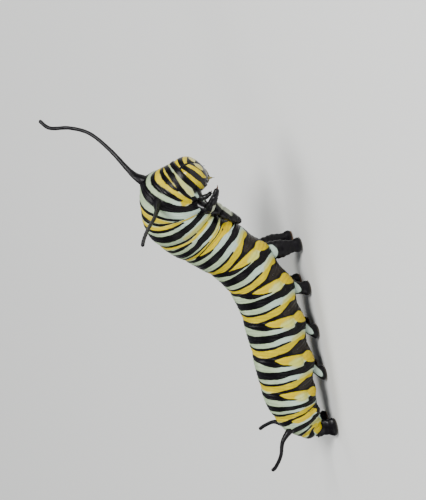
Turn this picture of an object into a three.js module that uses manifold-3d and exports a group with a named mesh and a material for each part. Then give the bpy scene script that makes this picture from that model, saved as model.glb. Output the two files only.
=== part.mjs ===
// Monarch larva in its last instar, life size, as a still model standing on its prolegs.
// The rear half lies level on the prolegs, and the front third rises, then bends down to the right at the head.
// Millimetres, +X to the head, +Y to the larva's left, +Z up from the floor.
import * as THREE from 'three';
import { mergeVertices } from 'three/addons/utils/BufferGeometryUtils.js';
import Module from 'manifold-3d';

const wasm = await Module();
wasm.setup();

// Driving sizes of the body
const GAP = 0.3;
const SIDES = 24;
const CREASE = 0.045;
const BELLY_FLAT = 0.1;
const DEG = Math.PI / 180;

// One ring of the body at the middle of each segment, from the neck to the rear end:
// its middle (x, y, z), its radius, and its pitch, yaw and roll in degrees.
const RINGS = [
  { part: 'neck', at: [16.68, -0.52, 9.32], radius: 1.82, turn: [-51, -15, 9] },
  { part: 'prothorax', at: [16.26, -0.4, 9.72], radius: 2.05, turn: [-38, -22, -5] },
  { part: 'mesothorax', at: [15.2, 0.36, 10.64], radius: 2.84, turn: [-11, -24, -8] },
  { part: 'metathorax', at: [12.5, 1.06, 10.48], radius: 3.02, turn: [17, -8, 10] },
  { part: 'abdomen_1', at: [10.8, 1.06, 9.23], radius: 2.9, turn: [31, 4, 11] },
  { part: 'abdomen_2', at: [9.11, 0.85, 7.36], radius: 2.79, turn: [35, 7, 10] },
  { part: 'abdomen_3', at: [6.62, 0.47, 5.25], radius: 2.7, turn: [26, 6, 7] },
  { part: 'abdomen_4', at: [3.6, 0.15, 3.95], radius: 2.75, turn: [11, 3, 3.5] },
  { part: 'abdomen_5', at: [0.15, 0.01, 3.52], radius: 2.7, turn: [4, 1, 0] },
  { part: 'abdomen_6', at: [-3.6, -0.06, 3.32], radius: 2.65, turn: [0.5, 0, -1] },
  { part: 'abdomen_7', at: [-6.85, -0.08, 3.24], radius: 2.38, turn: [1, 0, -3] },
  { part: 'abdomen_8', at: [-9.03, -0.23, 2.66], radius: 1.9, turn: [15, 4, -5] },
  { part: 'abdomen_9', at: [-9.75, -0.36, 2.18], radius: 1.5, turn: [22, 9, -5] },
  { part: 'abdomen_10', at: [-10.3, -0.5, 1.78], radius: 1.15, turn: [28, 14, -5] },
  { part: 'rear end', at: [-10.8, -0.63, 1.43], radius: 0.9, turn: [33, 18, -5] },
];
const NECK_CUT = 0.2;
const REAR_CUT = 13.55;

// Where the box's bottom centre lies in the frame of the rings
const ORIGIN = new THREE.Vector3(4.88, -0.11, 0);

// Head capsule: half width, half height and half depth, and how far it stands off the neck ring
const HEAD = { width: 1.78, height: 1.8, depth: 1.45, forward: 0.2, down: 0.12, suture: 0.12 };

// True legs, one pair on each ring of the thorax: where round the ring they grow, and how their claw lies,
// with the reach forward given for the right leg and then the left
const LEGS = [
  { ring: 0.9, root: 116, lift: 0.45, forward: [0.95, 0.95], out: 0.3, down: 0.45, thick: 0.27 },
  { ring: 2.05, root: 136, lift: 0.8, forward: [2.45, 1.2], out: 0.45, down: 0.55, thick: 0.4 },
  { ring: 3.3, root: 139, lift: 0.6, forward: [-2.6, -1.9], out: 0.6, down: 1.3, thick: 0.5 },
];

// Prolegs: where each pair stands on the floor, and the half sizes of its foot
const PROLEGS = [
  { ring: 6, foot: 7.4, spread: 1.2 },
  { ring: 7, foot: 3.3, spread: 1.2 },
  { ring: 8, foot: -0.87, spread: 1.2 },
  { ring: 9, foot: -4.95, spread: 1.2 },
];
const FOOT = { long: 0.68, wide: 0.48, high: 0.5, sole: 0.72 };
const ANAL = { ring: 12.9, foot: -10.1, spread: 1.2, root: 124, long: 0.85, wide: 0.46 };

// Tentacles: a base on the second thoracic ring or the eighth abdominal one, then points of the bend
// as (forward, left, up) steps from that base.
const FRONT_LEFT = {
  ring: 1.95, angle: -33, root: 0.5, thin: 0.27, club: 0.3, lengths: 3,
  bend: [[0.65, 0.98, 0.7], [2.69, 2.88, 1.77], [4.1, 4.46, 2.87], [4.64, 5.78, 4.22], [4.73, 6.97, 5.71], [5.39, 7.81, 6.3]],
};
const FRONT_RIGHT = {
  ring: 1.87, angle: 46, root: 0.5, thin: 0.27, club: 0.3, lengths: 3,
  bend: [[-0.05, -1.63, 0.8], [-0.05, -3.26, 1.67], [-0.05, -4.77, 2.65], [-0.03, -6.29, 3.54], [-0.15, -7.52, 4.26], [-0.24, -8.42, 4.69]],
};
const REAR_LEFT = {
  ring: 11, angle: -40, root: 0.36, thin: 0.26, club: 0.28, lengths: 1,
  bend: [[-0.1, 1.2, 0.6], [-0.65, 2.35, 1.1], [-1.15, 3.1, 1.45]],
};
const REAR_RIGHT = {
  ring: 11, angle: 36, root: 0.36, thin: 0.26, club: 0.28, lengths: 1,
  bend: [[-0.76, -0.33, 1.01], [-1.75, -1.01, 1.64], [-2.46, -1.45, 2.42], [-2.67, -1.58, 2.9]],
};

const skin = new THREE.MeshStandardMaterial({ color: 0xb9ad55, roughness: 0.45, metalness: 0 });
const black = new THREE.MeshStandardMaterial({ color: 0x14100f, roughness: 0.35, metalness: 0 });
const capsule = new THREE.MeshStandardMaterial({ color: 0x3a3620, roughness: 0.3, metalness: 0 });

// Distance of each ring's middle along the body
const STATION = RINGS.reduce((list, ring, i) => {
  const last = i ? new THREE.Vector3(...ring.at).distanceTo(new THREE.Vector3(...RINGS[i - 1].at)) : 0;
  return [...list, (list[i - 1] ?? 0) + last];
}, []);

// A value that passes through every ring's own, as a cubic in the distance along the body
function along(read, u) {
  const last = RINGS.length - 1;
  const i = Math.min(Math.max(Math.floor(u), 0), last - 1);
  const slope = (k) => {
    const a = Math.max(k - 1, 0);
    const b = Math.min(k + 1, last);
    return (read(RINGS[b]) - read(RINGS[a])) / (STATION[b] - STATION[a]);
  };
  const span = STATION[i + 1] - STATION[i];
  const t = u - i;
  const [p, q] = [read(RINGS[i]), read(RINGS[i + 1])];
  const [m, n] = [slope(i) * span, slope(i + 1) * span];
  if (t < 0) return p + m * t;
  const bend = (2 * t - 3) * t * t;
  return p * (1 + bend) + m * t * (t - 1) * (t - 1) - q * bend + n * t * t * (t - 1);
}

// The middle of the body at ring number u, with the ring's own forward, left and up
function frameAt(u) {
  const middle = new THREE.Vector3(...[0, 1, 2].map((axis) => along((ring) => ring.at[axis], u)));
  const [pitch, yaw, roll] = [0, 1, 2].map((k) => along((ring) => ring.turn[k], u) * DEG);
  const forward = new THREE.Vector3(
    Math.cos(pitch) * Math.cos(yaw), Math.cos(pitch) * Math.sin(yaw), Math.sin(pitch));
  const level = new THREE.Vector3(-Math.sin(yaw), Math.cos(yaw), 0);
  const upright = forward.clone().cross(level);
  const up = upright.clone().multiplyScalar(Math.cos(roll)).addScaledVector(level, -Math.sin(roll));
  const left = level.clone().multiplyScalar(Math.cos(roll)).addScaledVector(upright, Math.sin(roll));
  return { middle, forward, left, up, radius: along((ring) => ring.radius, u) };
}

// How full the body is at u: 1 over most of a segment, and drawn in at the creases between segments
function fullness(u) {
  const fromMiddle = 2 * Math.abs(u - Math.round(u));
  return 1 - CREASE * fromMiddle ** 4;
}

// A point of the skin: angle 0 on the back, 90 on the larva's right, 180 on the belly
function skinPoint(u, angle, lift = 0) {
  const { middle, left, up, radius } = frameAt(u);
  const reach = radius * fullness(u) + lift;
  const high = Math.cos(angle * DEG);
  const drop = high < 0 ? 1 - BELLY_FLAT * high * high : 1;
  return middle.clone()
    .addScaledVector(up, reach * high * drop)
    .addScaledVector(left, -reach * Math.sin(angle * DEG));
}

// A closed solid from a list of rings of points, each with the same count, and a flat fan at either end
function loft(rings) {
  const count = rings[0].length;
  const points = rings.flat();
  const faces = [];
  for (let r = 0; r < rings.length - 1; r += 1) {
    for (let k = 0; k < count; k += 1) {
      const [a, b] = [r * count + k, r * count + (k + 1) % count];
      faces.push(a, b, a + count, b, b + count, a + count);
    }
  }
  for (const [ring, flip] of [[0, true], [rings.length - 1, false]]) {
    const centre = points.length;
    const middle = rings[ring].reduce((sum, p) => sum.add(p), new THREE.Vector3()).divideScalar(count);
    points.push(middle);
    for (let k = 0; k < count; k += 1) {
      const [a, b] = [ring * count + k, ring * count + (k + 1) % count];
      faces.push(...(flip ? [b, a, centre] : [a, b, centre]));
    }
  }
  const solid = new wasm.Manifold(new wasm.Mesh({
    numProp: 3,
    vertProperties: new Float32Array(points.flatMap((p) => p.toArray())),
    triVerts: new Uint32Array(faces),
  }));
  if (solid.volume() > 0) return solid;
  for (let f = 0; f < faces.length; f += 3) [faces[f + 1], faces[f + 2]] = [faces[f + 2], faces[f + 1]];
  return new wasm.Manifold(new wasm.Mesh({
    numProp: 3,
    vertProperties: new Float32Array(points.flatMap((p) => p.toArray())),
    triVerts: new Uint32Array(faces),
  }));
}

// The points round the skin at ring number u, moved along the ring's own forward by shift
function ringPoints(u, lift = 0, shift = 0) {
  const { forward } = frameAt(u);
  return Array.from({ length: SIDES }, (_, k) =>
    skinPoint(u, 360 * k / SIDES, lift).addScaledVector(forward, shift));
}

// The body's segments, each ending flat, half a gap short of the crease it shares with its neighbour
const LONG_STEPS = [0.16, 0.33, 0.5, 0.67, 0.84];
const SHORT_STEPS = [0.35, 0.65];
const SHORT = 1.3;
function segment(index) {
  const front = index === 1 ? NECK_CUT : index - 0.5;
  const back = index + 0.5;
  if (index === RINGS.length - 2) return rearEnd(front);
  const length = frameAt(front).middle.distanceTo(frameAt(back).middle);
  const steps = length < SHORT ? SHORT_STEPS : LONG_STEPS;
  return loft([
    ringPoints(front, 0, -GAP / 2),
    ...steps.map((share) => ringPoints(front + (back - front) * share)),
    ringPoints(back, 0, GAP / 2),
  ]);
}

// The last segment closes in a rounded plate behind the vent
const REAR_STEPS = 7;
function rearEnd(front) {
  const rings = [ringPoints(front, 0, -GAP / 2)];
  for (let i = 2; i <= REAR_STEPS; i += 1) {
    const t = i / REAR_STEPS;
    const u = front + (REAR_CUT - front) * Math.sin(t * Math.PI / 2);
    const shrink = Math.sqrt(1 - 0.94 * t ** 4);
    const { middle } = frameAt(u);
    rings.push(ringPoints(u).map((p) => p.sub(middle).multiplyScalar(shrink).add(middle)));
  }
  return loft(rings);
}

// The whole body grown by the gap, which what grows from it is cut against
const GROWN_STEPS = 70;
const grownBody = loft(Array.from({ length: GROWN_STEPS + 1 }, (_, i) => {
  const u = NECK_CUT + (REAR_CUT - NECK_CUT) * i / GROWN_STEPS;
  const shift = i === 0 ? GAP / 2 : (i === GROWN_STEPS ? -GAP : 0);
  return ringPoints(u, GAP, shift);
}));

// What grows from the body stops a gap short of the skin
function clearOfBody(solid) {
  const pieces = solid.subtract(grownBody).decompose();
  return pieces.reduce((best, piece) => (piece.volume() > best.volume() ? piece : best));
}

// An ellipsoid with its half sizes along the three axes of a frame
function blob(frame, left, up, forward, sizes, around = 10, high = 8) {
  const ball = new THREE.SphereGeometry(1, around, high);
  const basis = new THREE.Matrix4().makeBasis(
    frame.left.clone().multiplyScalar(sizes[0]),
    frame.up.clone().multiplyScalar(sizes[1]),
    frame.forward.clone().multiplyScalar(-sizes[2]));
  basis.setPosition(frame.middle.clone()
    .addScaledVector(frame.left, left)
    .addScaledVector(frame.up, up)
    .addScaledVector(frame.forward, forward));
  ball.applyMatrix4(basis);
  return solidOf(ball);
}

function solidOf(geometry) {
  geometry.deleteAttribute('normal');
  geometry.deleteAttribute('uv');
  const merged = mergeVertices(geometry, 1e-4);
  const arrays = (flip) => {
    const triVerts = new Uint32Array(merged.index.array);
    if (flip) {
      for (let f = 0; f < triVerts.length; f += 3) {
        [triVerts[f + 1], triVerts[f + 2]] = [triVerts[f + 2], triVerts[f + 1]];
      }
    }
    return new wasm.Manifold(new wasm.Mesh({
      numProp: 3, vertProperties: merged.attributes.position.array, triVerts }));
  };
  const made = arrays(false);
  return made.volume() > 0 ? made : arrays(true);
}

// A round bar along a list of points, with its radius at each
function bar(points, radii, sides = 8) {
  const curve = new THREE.CatmullRomCurve3(points, false, 'centripetal');
  const steps = radii.length - 1;
  const frames = curve.computeFrenetFrames(steps, false);
  const rings = radii.map((radius, i) => {
    const middle = curve.getPointAt(i / steps);
    return Array.from({ length: sides }, (_, k) => middle.clone()
      .addScaledVector(frames.normals[i], radius * Math.cos(2 * Math.PI * k / sides))
      .addScaledVector(frames.binormals[i], radius * Math.sin(2 * Math.PI * k / sides)));
  });
  return loft(rings);
}

// Head capsule: two rounded halves that meet in the suture down the crown, with the mouthparts below the face
function head() {
  const frame = frameAt(0);
  frame.middle.addScaledVector(frame.forward, HEAD.forward).addScaledVector(frame.up, -HEAD.down);
  const ball = new THREE.SphereGeometry(1, 28, 18);
  const place = ball.getAttribute('position');
  for (let i = 0; i < place.count; i += 1) {
    const [x, y, z] = [place.getX(i), place.getY(i), place.getZ(i)];
    const groove = 1 - HEAD.suture * Math.exp(-((x / 0.16) ** 2)) * Math.max(0, y + 0.35 * z);
    const jaw = 1 - 0.16 * Math.max(0, -y) ** 2;
    place.setXYZ(i, x * HEAD.width * jaw, y * HEAD.height * groove, z * HEAD.depth * groove);
  }
  ball.applyMatrix4(new THREE.Matrix4().makeBasis(frame.left, frame.up, frame.forward).setPosition(frame.middle));
  let solid = solidOf(ball);
  const mouthparts = [
    [0, -1.1, 1.02, [0.5, 0.3, 0.24]],
    [0, -1.38, 0.95, [0.42, 0.2, 0.22]],
    [0.34, -1.5, 0.72, [0.36, 0.28, 0.32]],
    [-0.34, -1.5, 0.72, [0.36, 0.28, 0.32]],
    [0, -1.6, 0.36, [0.32, 0.26, 0.32]],
  ];
  for (const [left, up, forward, sizes] of mouthparts) {
    solid = solid.add(blob(frame, left, up, forward, sizes));
  }
  for (const side of [1, -1]) {
    const at = (left, up, forward) => frame.middle.clone()
      .addScaledVector(frame.left, side * left)
      .addScaledVector(frame.up, up)
      .addScaledVector(frame.forward, forward);
    solid = solid.add(bar([at(0.78, -1.0, 0.7), at(0.88, -1.25, 0.98), at(0.94, -1.5, 1.16)], [0.26, 0.25, 0.12], 7));
    solid = solid.add(bar([at(0.3, -1.4, 0.4), at(0.33, -1.8, 0.52), at(0.32, -2.0, 0.6)], [0.24, 0.2, 0.12], 7));
  }
  return clearOfBody(solid);
}

// A jointed true leg: three swellings that narrow to a claw, curved in under the body
function leg({ ring, root, lift, forward, out, down, thick }, side) {
  const frame = frameAt(ring);
  const base = skinPoint(ring, side * root, -0.7);
  const knee = skinPoint(ring, side * root, lift);
  const reach = forward[side > 0 ? 0 : 1];
  const step = (share, bow) => knee.clone()
    .addScaledVector(frame.forward, reach * share)
    .addScaledVector(frame.left, -side * out * bow)
    .addScaledVector(frame.up, -down * share);
  const points = [base, knee, step(0.35, 0.8), step(0.7, 0.85), step(1, 0.35)];
  const radii = [1.3, 1.35, 1.25, 1.05, 0.75, 0.8, 0.64, 0.5, 0.2].map((share) => share * thick);
  return clearOfBody(bar(points, radii, 9));
}

// A proleg: a soft cone from the belly, narrow at the ankle, with a rounded foot that stands flat on the floor
function proleg({ ring, foot, spread, root: turn = 150, long = FOOT.long, wide = FOOT.wide }, side) {
  const root = skinPoint(ring, side * turn, -0.6);
  const ankle = new THREE.Vector3(foot, -side * spread, 0);
  const levels = [
    [root.z, 1.35, 1.5], [FOOT.high * 1.9, 0.98, 0.98], [FOOT.high * 1.35, 0.86, 0.84],
    [FOOT.high * 0.9, 1, 1], [FOOT.high * 0.35, 1, 1], [0, FOOT.sole, FOOT.sole],
  ];
  const rings = levels.map(([z, longShare, wideShare]) => {
    const share = Math.min(1, Math.max(0, (root.z - z) / (root.z - FOOT.high * 1.35)));
    const middle = root.clone().lerp(ankle, share).setZ(z);
    return Array.from({ length: 14 }, (_, k) => {
      const turn = 2 * Math.PI * k / 14;
      return middle.clone().add(new THREE.Vector3(
        long * longShare * Math.cos(turn), wide * wideShare * Math.sin(turn), 0));
    });
  });
  return clearOfBody(loft(rings));
}

// A tentacle in one or more lengths, each a round bar that thins and ends in a slight club
const LENGTH_STEPS = 9;
function tentacle({ ring, angle, root, thin, club, lengths, bend }) {
  const base = skinPoint(ring, angle);
  const points = [skinPoint(ring, angle, -0.8), skinPoint(ring, angle, 0.15)];
  for (const [x, y, z] of bend) points.push(base.clone().add(new THREE.Vector3(x, y, z)));
  const curve = new THREE.CatmullRomCurve3(points, false, 'centripetal');
  const whole = curve.getLength();
  const thickness = (share) => {
    const taper = thin + (root - thin) * Math.exp(-share * 7);
    const swell = club * Math.exp(-(((share - 0.93) / 0.07) ** 2));
    const round = Math.sqrt(Math.max(0.1, 1 - Math.max(0, (share - 0.95) / 0.05) ** 2));
    return Math.max(taper, swell) * round;
  };
  return Array.from({ length: lengths }, (_, n) => {
    const from = n / lengths + (n ? GAP / 2 / whole : 0);
    const to = (n + 1) / lengths - (n + 1 < lengths ? GAP / 2 / whole : 0);
    const shares = Array.from({ length: LENGTH_STEPS + 1 }, (_, i) => from + (to - from) * i / LENGTH_STEPS);
    const path = shares.map((share) => curve.getPointAt(share));
    const made = bar(path, shares.map(thickness), 8);
    return n ? made : clearOfBody(made);
  });
}

const larva = new THREE.Group();

function node(name, solid, material) {
  const { vertProperties, triVerts } = solid.getMesh();
  const geometry = new THREE.BufferGeometry();
  geometry.setAttribute('position', new THREE.BufferAttribute(vertProperties, 3));
  geometry.setIndex(new THREE.BufferAttribute(triVerts, 1));
  geometry.computeVertexNormals();
  const mesh = new THREE.Mesh(geometry, material);
  mesh.name = name;
  larva.add(mesh);
}

node('head', head(), capsule);
for (let index = 1; index < RINGS.length - 1; index += 1) node(RINGS[index].part, segment(index), skin);

for (const [sideName, side] of [['right', 1], ['left', -1]]) {
  LEGS.forEach((spec, i) => node(`leg_${i + 1}_${sideName}`, leg(spec, side), black));
  PROLEGS.forEach((spec) => node(`proleg_${spec.ring - 3}_${sideName}`, proleg(spec, side), black));
  node(`proleg_anal_${sideName}`, proleg(ANAL, side), black);
}

for (const [name, spec] of [
  ['front_left', FRONT_LEFT], ['front_right', FRONT_RIGHT], ['rear_left', REAR_LEFT], ['rear_right', REAR_RIGHT]]) {
  tentacle(spec).forEach((solid, n) => {
    node(spec.lengths > 1 ? `tentacle_${name}_${n + 1}` : `tentacle_${name}`, solid, black);
  });
}

larva.position.copy(ORIGIN).negate();

export default larva;
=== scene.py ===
"""Monarch larva in its last instar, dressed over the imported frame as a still, life-size museum model.

The body is one skin worked out from the same line of rings as the solids: a ring number u runs from
0 at the neck to 14 behind the vent, and an angle runs round each ring from 0 on the back over 90 on
the larva's right to 180 on the belly. Markings are laid out in the same two numbers. Lengths are in
millimetres in the frame of the rings until a mesh is made, and in metres after that.
"""

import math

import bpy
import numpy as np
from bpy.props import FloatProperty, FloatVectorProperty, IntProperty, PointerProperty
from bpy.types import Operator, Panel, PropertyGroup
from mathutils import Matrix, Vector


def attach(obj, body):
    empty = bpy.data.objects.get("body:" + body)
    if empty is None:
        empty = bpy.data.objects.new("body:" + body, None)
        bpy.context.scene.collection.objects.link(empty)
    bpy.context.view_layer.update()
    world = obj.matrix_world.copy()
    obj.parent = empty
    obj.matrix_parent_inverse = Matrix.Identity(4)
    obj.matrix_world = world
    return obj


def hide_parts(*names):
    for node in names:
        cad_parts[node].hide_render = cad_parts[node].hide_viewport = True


bl_info = {
    "name": "Monarch larva",
    "version": (1, 0, 0),
    "blender": (4, 5, 0),
    "location": "View3D > Sidebar > Larva",
    "description": "Builds a banded butterfly larva over its packed frame",
    "category": "Object",
}

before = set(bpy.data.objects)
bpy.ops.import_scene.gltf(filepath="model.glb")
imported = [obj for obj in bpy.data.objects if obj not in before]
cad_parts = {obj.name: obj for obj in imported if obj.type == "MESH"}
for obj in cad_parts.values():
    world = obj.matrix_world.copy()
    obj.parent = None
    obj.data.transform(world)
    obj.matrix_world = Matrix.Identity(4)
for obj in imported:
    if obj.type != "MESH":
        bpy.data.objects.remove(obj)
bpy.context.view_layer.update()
MM = 0.001

# Rings of the body line: middle, radius, and pitch, yaw and roll in degrees
RINGS = [
    ("neck", (16.68, -0.52, 9.32), 1.82, (-51, -15, 9)),
    ("prothorax", (16.26, -0.4, 9.72), 2.05, (-38, -22, -5)),
    ("mesothorax", (15.2, 0.36, 10.64), 2.84, (-11, -24, -8)),
    ("metathorax", (12.5, 1.06, 10.48), 3.02, (17, -8, 10)),
    ("abdomen_1", (10.8, 1.06, 9.23), 2.9, (31, 4, 11)),
    ("abdomen_2", (9.11, 0.85, 7.36), 2.79, (35, 7, 10)),
    ("abdomen_3", (6.62, 0.47, 5.25), 2.7, (26, 6, 7)),
    ("abdomen_4", (3.6, 0.15, 3.95), 2.75, (11, 3, 3.5)),
    ("abdomen_5", (0.15, 0.01, 3.52), 2.7, (4, 1, 0)),
    ("abdomen_6", (-3.6, -0.06, 3.32), 2.65, (0.5, 0, -1)),
    ("abdomen_7", (-6.85, -0.08, 3.24), 2.38, (1, 0, -3)),
    ("abdomen_8", (-9.03, -0.23, 2.66), 1.9, (15, 4, -5)),
    ("abdomen_9", (-9.75, -0.36, 2.18), 1.5, (22, 9, -5)),
    ("abdomen_10", (-10.3, -0.5, 1.78), 1.15, (28, 14, -5)),
    ("rear end", (-10.8, -0.63, 1.43), 0.9, (33, 18, -5)),
]
MIDDLES = np.array([ring[1] for ring in RINGS], float)
RADII = np.array([ring[2] for ring in RINGS], float)
TURNS = np.radians(np.array([ring[3] for ring in RINGS], float))
STATIONS = np.r_[0, np.cumsum(np.linalg.norm(np.diff(MIDDLES, axis=0), axis=1))]
# Middle of the box's floor, in the frame of the rings
ORIGIN = np.array([4.88, -0.11, 0.0])
SEGMENTS = [ring[0] for ring in RINGS[1:-1]]
SIDES = (("right", 1), ("left", -1))
# The skin along the body as ring numbers: its front end in the head, its full rings, and its rear end
SKIN = {"front": -0.25, "neck": 0.05, "tail": 12.5, "rear": 13.55}
# Share of its radius that the belly loses
BELLY_FLAT = 0.1

# Prolegs: name, ring, place of the foot along the body, angle of the root and the foot's half sizes
PROLEGS = [
    {"name": n, "ring": n + 3, "foot": foot, "root": 150, "long": 0.68, "wide": 0.48}
    for n, foot in ((3, 7.4), (4, 3.3), (5, -0.87), (6, -4.95))
] + [{"name": "anal", "ring": 12.9, "foot": -10.1, "root": 124, "long": 0.85, "wide": 0.46}]
# How far a foot stands out from the body's middle, and a proleg's share of its foot's sizes over the height
FOOT_SPREAD = 1.2
PROLEG_PROFILE = ([0, 0.05, 0.14, 0.32, 0.5, 0.75, 0.95, 1.3, 1.9, 9],
                  [0.6, 0.8, 0.93, 1.02, 0.98, 0.84, 0.86, 1.0, 1.25, 1.5])
# Hooks of a foot: number, radians to each side of straight inwards, height of the roots and radius
HOOKS = {"count": 15, "half_turn": 1.15, "high": 0.17, "radius": 0.034}

# True legs: ring, angle of the root, lift of the knee, reach forward (right, left), out, down and thickness
LEGS = [
    {"ring": 0.9, "root": 116, "lift": 0.45, "forward": (0.95, 0.4), "out": 0.3, "down": 0.45, "thick": 0.27},
    {"ring": 2.05, "root": 136, "lift": 0.8, "forward": (2.45, 0.6), "out": 0.45, "down": 0.55, "thick": 0.4},
    {"ring": 3.3, "root": 139, "lift": 0.6, "forward": (-2.6, -1.9), "out": 0.6, "down": 1.3, "thick": 0.5},
]
# Bends of a leg past the knee as shares of its reach and way out, then its thickness and joints by length
LEG_BENDS = ((0.35, 0.8), (0.7, 0.85), (1, 0.35))
LEG_PROFILE = ([0, 0.25, 0.45, 0.65, 0.85, 1], [1.4, 1.32, 1.15, 0.98, 0.78, 0.55])
LEG_JOINTS = ((0.42, 0.025), (0.62, 0.025), (0.82, 0.02))

# Tentacles: ring and angle of the base, CAD lengths, then points of the bend as steps from the base
TENTACLES = {
    "front_left": {
        "ring": 1.95, "angle": -33, "lengths": 3,
        "bend": [(0.65, 0.98, 0.7), (2.69, 2.88, 1.77), (4.1, 4.46, 2.87),
                 (4.64, 5.78, 4.22), (4.73, 6.97, 5.71), (5.39, 7.81, 6.3)],
    },
    "front_right": {
        "ring": 1.87, "angle": 46, "lengths": 3,
        "bend": [(-0.05, -1.63, 0.8), (-0.05, -3.26, 1.67), (-0.05, -4.77, 2.65),
                 (-0.03, -6.29, 3.54), (-0.15, -7.52, 4.26), (-0.24, -8.42, 4.69)],
    },
    "rear_left": {
        "ring": 11, "angle": -40, "lengths": 1,
        "bend": [(-0.1, 1.2, 0.6), (-0.65, 2.35, 1.1), (-1.15, 3.1, 1.45)],
    },
    "rear_right": {
        "ring": 11, "angle": 36, "lengths": 1,
        "bend": [(-0.76, -0.33, 1.01), (-1.75, -1.01, 1.64), (-2.46, -1.45, 2.42), (-2.67, -1.58, 2.9)],
    },
}

# Head capsule: half sizes, and how far its middle stands off the neck ring
HEAD = {"width": 1.78, "height": 1.8, "depth": 1.45, "forward": 0.12, "down": 0.24}
# Arcs of the head in degrees: angles round the face, both edges off its axis there, first and last angle
HEAD_ARCS = {
    "outer": ([6, 35, 80, 110], [84, 78, 76, 84], [99, 101, 100, 91], 5, 110),
    "inner": ([5, 20, 40, 60, 80, 95], [55, 49, 44, 42, 46, 48], [66, 63, 58, 57, 58, 53], 4, 98),
    "face": ([10, 30, 50, 72], [22, 18, 18, 26], [36, 41, 40, 34], 9, 74),
}
# Eyes of a side as degrees off the face's axis and round it, and their radius
EYES = ((70, 104), (76, 112), (78, 121), (74, 129), (64, 131), (60, 117))
EYE_RADIUS = 0.085
# Any direction that no tube runs along, to lay out its rings from
SKEW = (0.31, 0.17, 0.94)
# Breathing holes as ring number and angle, and their half length, half height and half thickness
SPIRACLES = [(1.12, 112)] + [(n + 0.46, 109) for n in range(4, 10)] + [(10.42, 108), (11.08, 98)]
SPIRACLE_SIZES = [0.085, 0.15, 0.06]

# The camera: directions towards it and up its picture, distance and height of the view in millimetres
CAMERA = {
    "toward": (0.342, -0.898, 0.276), "up": (0.925, 0.270, -0.268), "distance": 1000.0,
    "frame_height": 45.0, "target": (7.435, 3.862, 6.852), "sensor": 36.0,
}
# Lamps as name, place, size and watts, the point they face, the floor's half size, in metres, and the world
LAMPS = (("key", (0.26, -0.24, 0.3), 0.16, 3.2), ("fill", (-0.3, -0.3, 0.2), 0.3, 0.5),
         ("top", (0.05, 0.12, 0.42), 0.25, 1.2))
LAMP_TARGET = (0, 0, 0.006)
FLOOR_HALF = 1.5
WORLD = {"Color": (0.9, 0.95, 1.0, 1), "Strength": 0.25}

# Fixed colours: pairs that a mottle runs between, and single ones
# Greens of the pale ground on the back: partly the skin's own greener tint, partly painted shade of the back
# turned away from the light
BACK_GREENS_AND_SHADE = ((0.31, 0.4, 0.24), (0.39, 0.48, 0.31))
LEMONS = ((0.55, 0.55, 0.1), (0.6, 0.63, 0.24))
FACE_CREAMS = ((0.56, 0.48, 0.07), (0.62, 0.6, 0.28))
MOUTH_OLIVES = ((0.16, 0.13, 0.035), (0.34, 0.29, 0.1))
PLATE_CREAMS = ((0.36, 0.38, 0.26), (0.5, 0.54, 0.42))
MOSS = (0.36, 0.43, 0.3)
WASH = (0.52, 0.5, 0.09)
CLAW = (0.05, 0.02, 0.008)
HOOK = (0.09, 0.04, 0.015)
SOLE = (0.1, 0.09, 0.075)
EYE = (0.012, 0.007, 0.004)
HOLE = (0.004, 0.0035, 0.0035)
HOLE_RIM = (0.05, 0.045, 0.045)


class BodySizes(PropertyGroup):
    crease: FloatProperty(
        name="Crease", description="How far the skin draws in between segments, as a share of its radius",
        default=0.045, min=0, max=0.2, subtype="FACTOR")
    fold: FloatProperty(
        name="Fold depth", description="Depth of the fine folds across each segment, in millimetres",
        default=0.045, min=0, max=0.2)
    rows: IntProperty(
        name="Rows", description="Rows of the skin along the body", default=570, min=100, max=800)
    columns: IntProperty(
        name="Columns", description="Columns of the skin round the body", default=144, min=48, max=240)
    tentacle_thin: FloatProperty(
        name="Tentacle radius", description="Radius of a tentacle's outer part, in millimetres",
        default=0.165, min=0.05, max=0.4)


class Colours(PropertyGroup):
    black: FloatVectorProperty(
        name="Black", description="Black bands, legs and tentacles", subtype="COLOR",
        default=(0.0018, 0.0014, 0.002), min=0, max=1)
    white: FloatVectorProperty(
        name="White", description="Pale bands", subtype="COLOR", default=(0.41, 0.53, 0.44), min=0, max=1)
    yellow: FloatVectorProperty(
        name="Yellow", description="Yellow bands", subtype="COLOR", default=(0.5, 0.385, 0.0), min=0, max=1)
    orange: FloatVectorProperty(
        name="Orange", description="Warm cores of the side patches", subtype="COLOR",
        default=(0.56, 0.4, 0.0), min=0, max=1)
    umber: FloatVectorProperty(
        name="Umber", description="Dark patches round the breathing holes", subtype="COLOR",
        default=(0.016, 0.012, 0.009), min=0, max=1)
    floor: FloatVectorProperty(
        name="Floor", description="Plain floor", subtype="COLOR", default=(0.72, 0.72, 0.7), min=0, max=1)


def hill(distance):
    """A smooth hill: 1 in the middle, falling as exp of minus the squared distance."""
    return np.exp(-distance * distance)


def smooth_step(low, high, value):
    """0 below low, 1 above high and a cubic between."""
    t = np.clip((value - low) / (high - low), 0, 1)
    return t * t * (3 - 2 * t)


def slopes(values, at):
    """Slope at each entry, from its two neighbours and their distance."""
    k = np.arange(len(at))
    before, after = np.maximum(k - 1, 0), np.minimum(k + 1, len(at) - 1)
    gap = at[after] - at[before]
    return (values[after] - values[before]) / (gap[:, None] if values.ndim > 1 else gap)


def cubic(t, p, q, m, n):
    """The cubic in t that runs from p at 0 to q at 1, with slopes m and n there."""
    bend = (2 * t - 3) * t * t
    return p * (1 + bend) + m * t * (t - 1) ** 2 - q * bend + n * t * t * (t - 1)


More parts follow.
